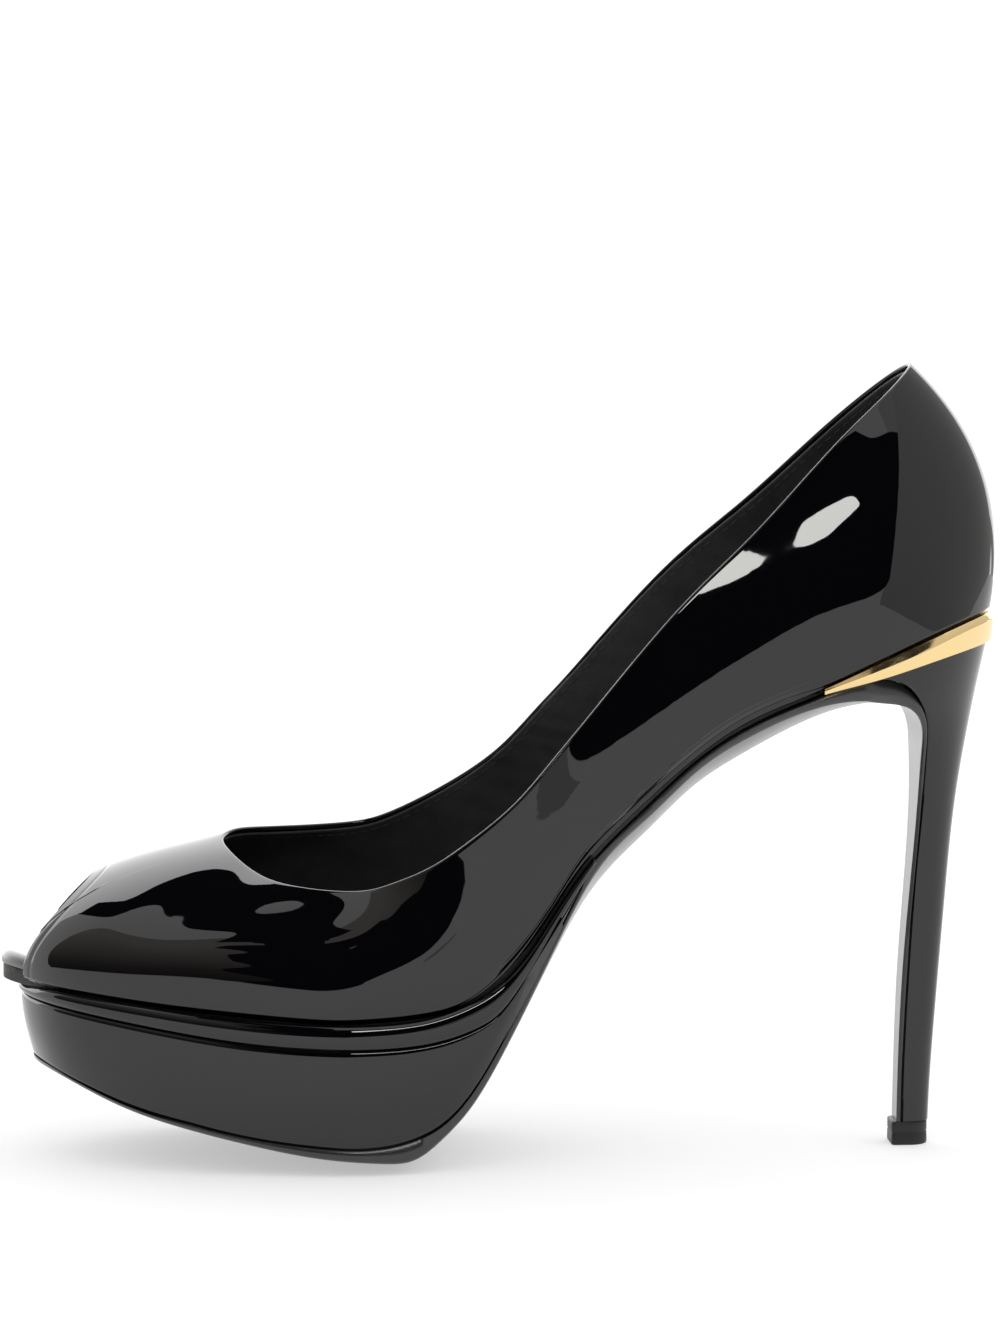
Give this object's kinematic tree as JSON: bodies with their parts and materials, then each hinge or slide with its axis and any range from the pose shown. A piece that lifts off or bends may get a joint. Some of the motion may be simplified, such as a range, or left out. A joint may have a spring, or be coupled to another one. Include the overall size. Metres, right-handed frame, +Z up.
{
  "type": "high heel pump",
  "caption": "Left platform pump with an open toe and stiletto heel, in black patent leather with a gilt band round the heel seat.",
  "frame": {"origin": "on the floor under the middle of the shoe's length and width", "axes": "+X from the toe to the heel, -Y towards the outer (lateral) side, +Z up from the floor"},
  "size_m": [0.2212, 0.0782, 0.1754],
  "materials": {
    "patent_leather": "black patent, mirror gloss lacquer",
    "lining_leather": "black matt fine-grained lining leather",
    "sock_leather": "dark matt smooth leather",
    "fibreboard": "raw fibre board, matt",
    "foam": "open-cell cushion foam, matt",
    "cork": "pressed cork granules, matt",
    "platform_plastic": "light moulded plastic, matt",
    "heel_plastic": "moulded plastic, matt",
    "sole_leather": "black lacquered sole leather, satin to gloss",
    "spring_steel": "hardened strip steel, oiled",
    "plain_steel": "plain drawn steel",
    "gilt_metal": "polished pale gold plating",
    "tip_rubber": "hard black rubbery plastic, satin"
  },
  "bodies": {
    "root": {"upper": "patent_leather", "lining": "lining_leather", "heel_counter": "fibreboard", "sock_lining": "sock_leather", "insole_cushion": "foam", "insole_board": "fibreboard", "forepart_filler": "cork", "shank_board": "fibreboard", "steel_shank": "spring_steel", "shank_rivets": "spring_steel", "midsole_board": "fibreboard", "rand_band": "patent_leather", "platform_core": "platform_plastic", "platform_cover": "patent_leather", "waist_filler": "cork", "outsole": "sole_leather", "heel_block": "heel_plastic", "heel_cover": "patent_leather", "heel_dowel": "spring_steel", "heel_screw": "plain_steel", "heel_nails": "plain_steel", "heel_trim_strip": "gilt_metal", "top_piece": "tip_rubber", "top_piece_pin": "plain_steel"}
  },
  "joints": []
}
